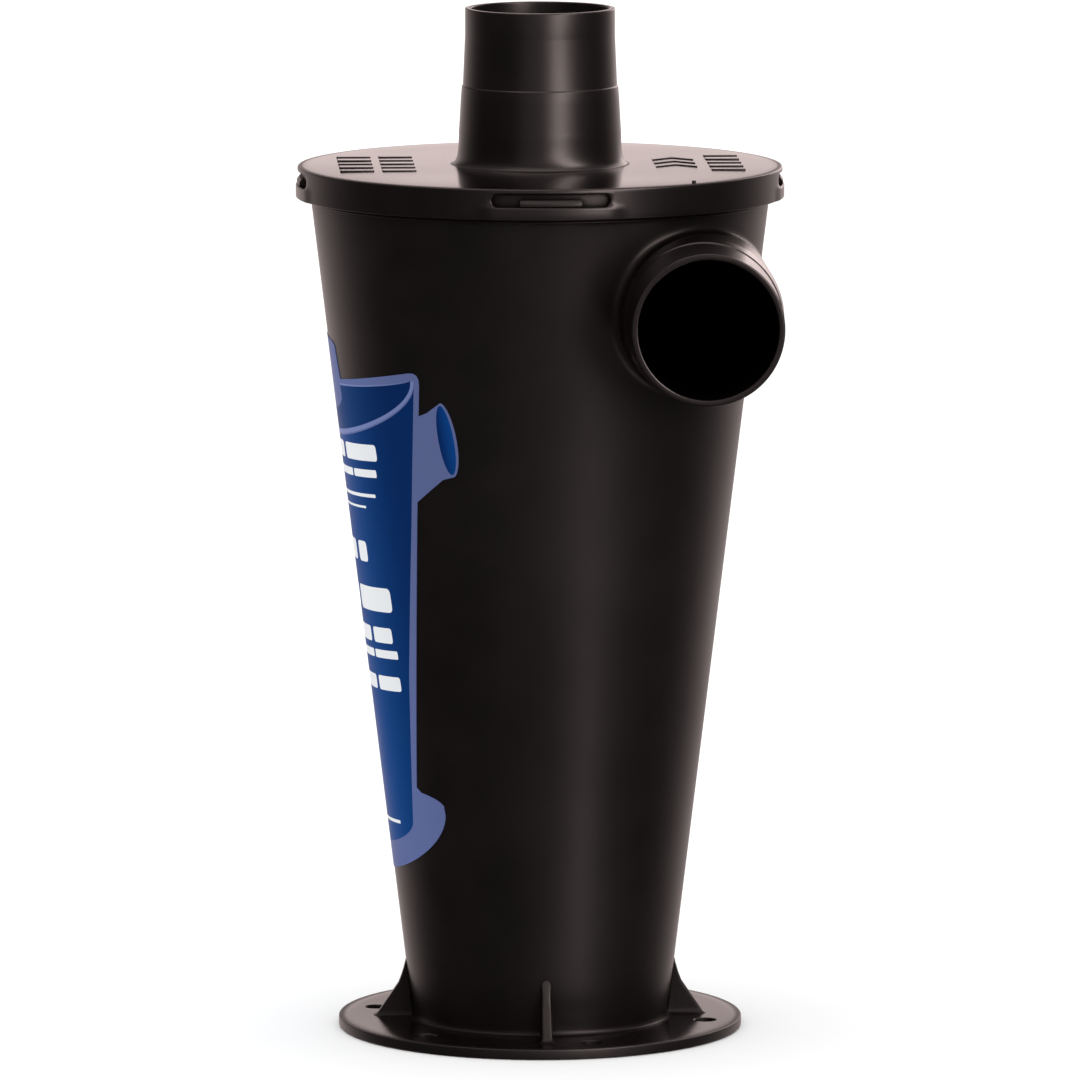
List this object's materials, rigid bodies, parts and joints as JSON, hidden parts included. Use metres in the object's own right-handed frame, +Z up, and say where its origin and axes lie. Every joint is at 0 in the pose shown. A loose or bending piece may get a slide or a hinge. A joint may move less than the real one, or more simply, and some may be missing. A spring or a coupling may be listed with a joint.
{
  "type": "cyclone dust separator",
  "caption": "Moulded plastic cyclone dust collector with a tangential hose inlet, a clip-on lid carrying the outlet tube, and a bolt-down base flange.",
  "frame": {"origin": "centre of the underside of the base flange", "axes": "+Z up the cone's axis towards the outlet, -Y the way the inlet opens, +X the side of the cone that the inlet is on"},
  "size_m": [0.1866, 0.2153, 0.393],
  "materials": {
    "black_plastic": "satin injection-moulded black ABS",
    "gasket_rubber": "closed-cell elastomer",
    "label_film": "semi-gloss printed vinyl film"
  },
  "bodies": {
    "cyclone": {"cyclone_body": "black_plastic", "lid_gasket": "gasket_rubber", "label": "label_film"},
    "lid": {"lid": "black_plastic", "snap_straps": "black_plastic"}
  },
  "joints": [
    {"name": "lid_lift", "type": "slide", "parent": "cyclone", "child": "lid", "axis": [0, 0, 1], "range_m": [0, 0.1], "deforming": ["snap_straps"]}
  ]
}
